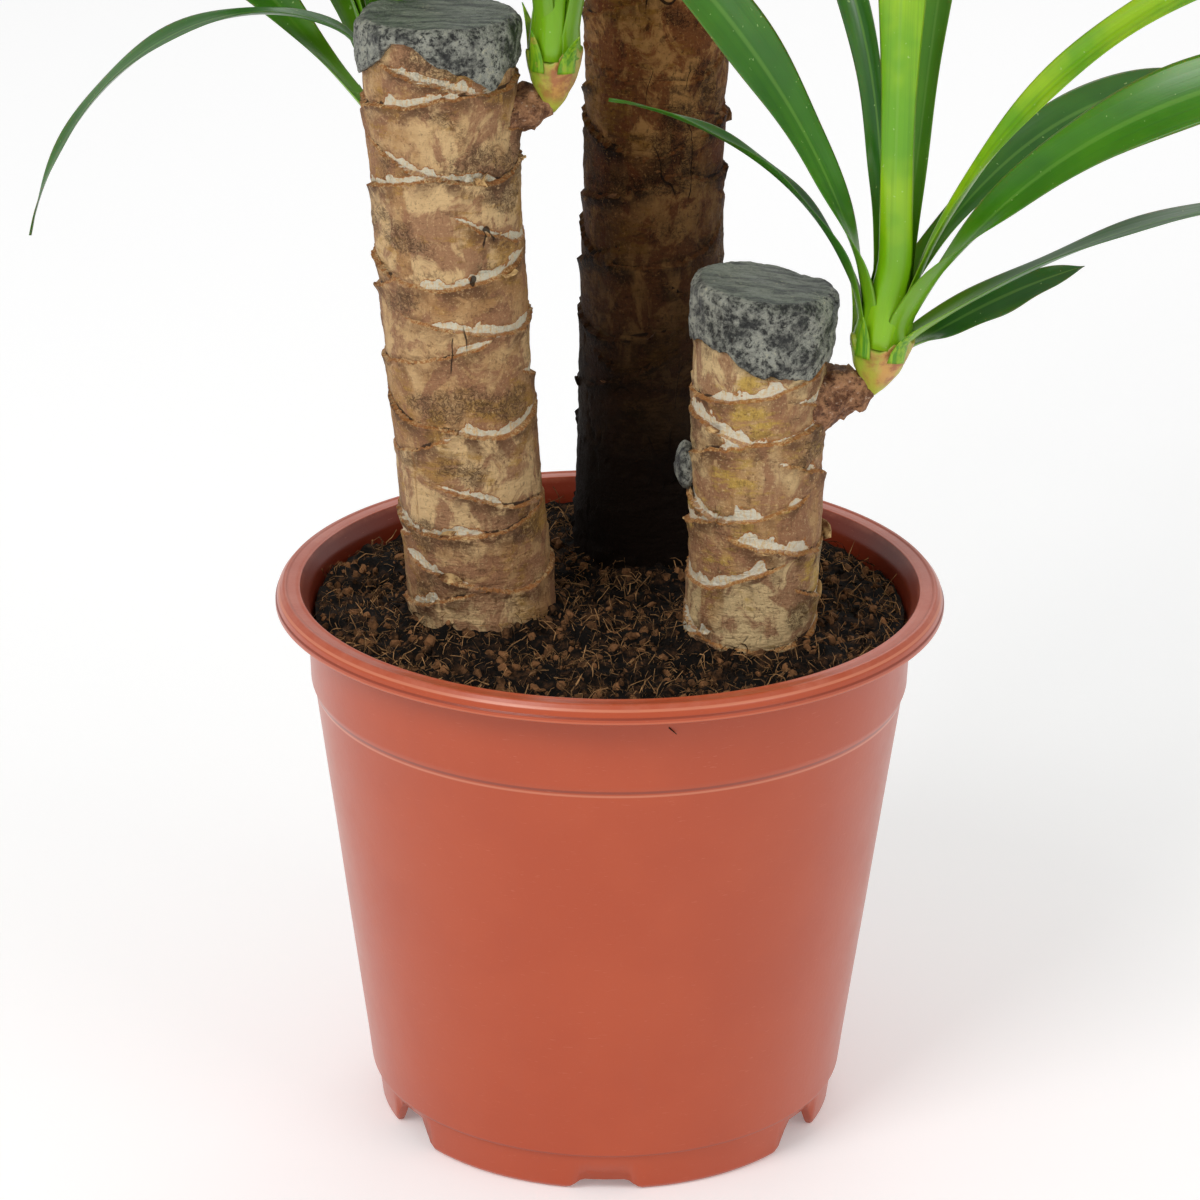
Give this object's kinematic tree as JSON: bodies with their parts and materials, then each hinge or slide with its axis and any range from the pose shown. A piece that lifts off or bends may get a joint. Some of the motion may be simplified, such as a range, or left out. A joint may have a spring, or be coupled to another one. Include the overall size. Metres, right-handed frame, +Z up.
{
  "type": "potted yucca",
  "caption": "Yucca house plant: sawn, wax-capped canes with shoots of long strap leaves, standing in soil in a round tapered plastic nursery pot.",
  "frame": {"origin": "centre of the pot's foot circle, on the plane the pot stands on", "axes": "+Z up along the pot's axis; -Y is the front, +X the plant's right as seen from the front"},
  "size_m": [0.6726, 0.6732, 1.0644],
  "materials": {
    "pot": "satin terracotta-coloured moulded polypropylene",
    "soil": "loose fibrous dark-brown peat potting mix",
    "bark": "rough papery tan bark with ragged leaf-scar rings",
    "bark_dark": "rough papery dark-brown bark with ragged leaf-scar rings",
    "wax": "grey sealing wax, dull with a low sheen",
    "shoot": "smooth pale yellow-green stem tissue",
    "leaf": "smooth leathery green leaf with fine lengthwise veins"
  },
  "bodies": {
    "root": {"pot": "pot", "soil": "soil", "cane_left": "bark", "wax_cap_left": "wax", "cane_tall": "bark_dark", "wax_cap_tall": "wax", "cane_right": "bark", "wax_cap_right": "wax", "wax_plug": "wax", "core_right": "shoot", "leaf_right_1": "leaf", "leaf_right_2": "leaf", "leaf_right_3": "leaf", "leaf_right_4": "leaf", "leaf_right_5": "leaf", "leaf_right_6": "leaf", "leaf_right_7": "leaf", "leaf_right_8": "leaf", "leaf_right_9": "leaf", "leaf_right_10": "leaf", "core_left_front": "shoot", "leaf_left_front_1": "leaf", "leaf_left_front_2": "leaf", "leaf_left_front_3": "leaf", "leaf_left_front_4": "leaf", "leaf_left_front_5": "leaf", "leaf_left_front_6": "leaf", "leaf_left_front_7": "leaf", "core_left_back": "shoot", "leaf_left_back_1": "leaf", "leaf_left_back_2": "leaf", "leaf_left_back_3": "leaf", "leaf_left_back_4": "leaf", "leaf_left_back_5": "leaf", "leaf_left_back_6": "leaf", "leaf_left_back_7": "leaf", "leaf_left_back_8": "leaf", "core_tall_front": "shoot", "leaf_tall_front_1": "leaf", "leaf_tall_front_2": "leaf", "leaf_tall_front_3": "leaf", "leaf_tall_front_4": "leaf", "leaf_tall_front_5": "leaf", "leaf_tall_front_6": "leaf", "core_tall_right": "shoot", "leaf_tall_right_1": "leaf", "leaf_tall_right_2": "leaf", "leaf_tall_right_3": "leaf", "leaf_tall_right_4": "leaf", "leaf_tall_right_5": "leaf", "leaf_tall_right_6": "leaf", "core_tall_left": "shoot", "leaf_tall_left_1": "leaf", "leaf_tall_left_2": "leaf", "leaf_tall_left_3": "leaf", "leaf_tall_left_4": "leaf", "leaf_tall_left_5": "leaf", "leaf_tall_left_6": "leaf"}
  },
  "joints": []
}
